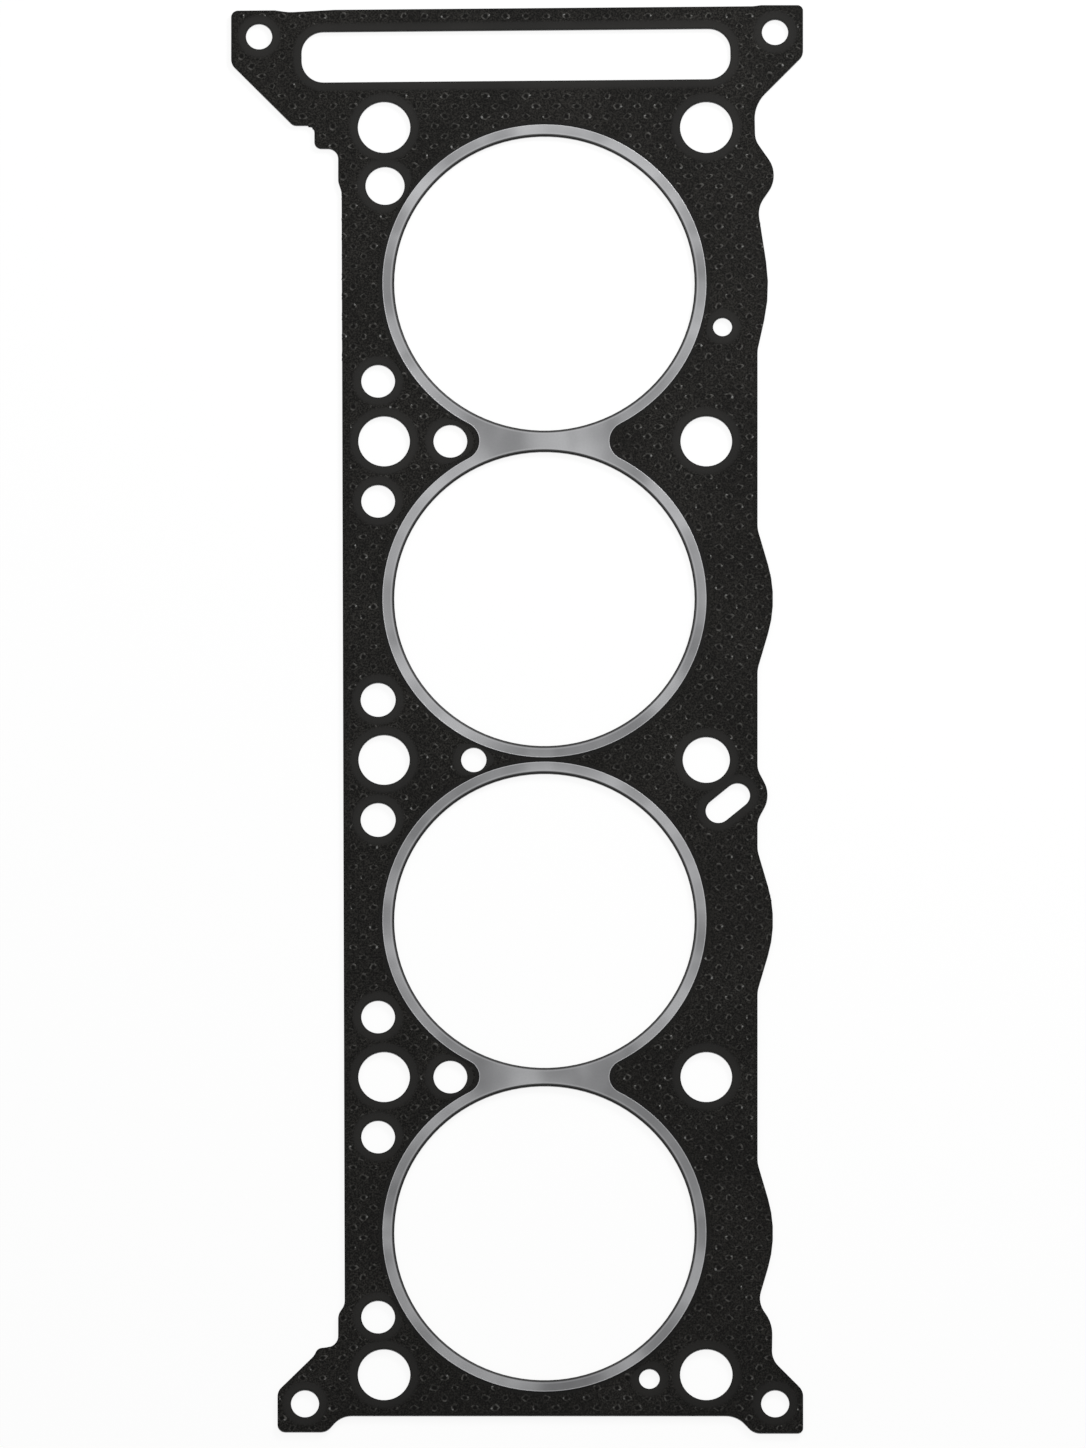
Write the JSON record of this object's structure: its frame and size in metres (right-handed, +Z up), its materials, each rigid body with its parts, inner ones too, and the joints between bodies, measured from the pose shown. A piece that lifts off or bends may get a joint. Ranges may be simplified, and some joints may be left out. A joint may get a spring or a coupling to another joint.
{
  "type": "cylinder head gasket",
  "caption": "Flat composite head gasket for an in-line engine: black facings on a tanged steel core, folded steel fire rings in pairs with a solid web.",
  "frame": {"origin": "middle of the four inner head bolts, in the plane of the block's deck (the underside of the lower flanges)", "axes": "+Z up, from block to head; +Y towards the front (timing) end; +X to the right, seen from above with the front end at the top"},
  "size_m": [0.183, 0.4662, 0.0019],
  "materials": {
    "facing": "matt graphite and fibre composite with a dry sheen",
    "core_steel": "bare sheet steel",
    "ring_steel": "satin rolled stainless steel"
  },
  "bodies": {
    "root": {"lower_facing": "facing", "tanged_core": "core_steel", "upper_facing": "facing", "front_fire_ring_pair": "ring_steel", "rear_fire_ring_pair": "ring_steel"}
  },
  "joints": []
}
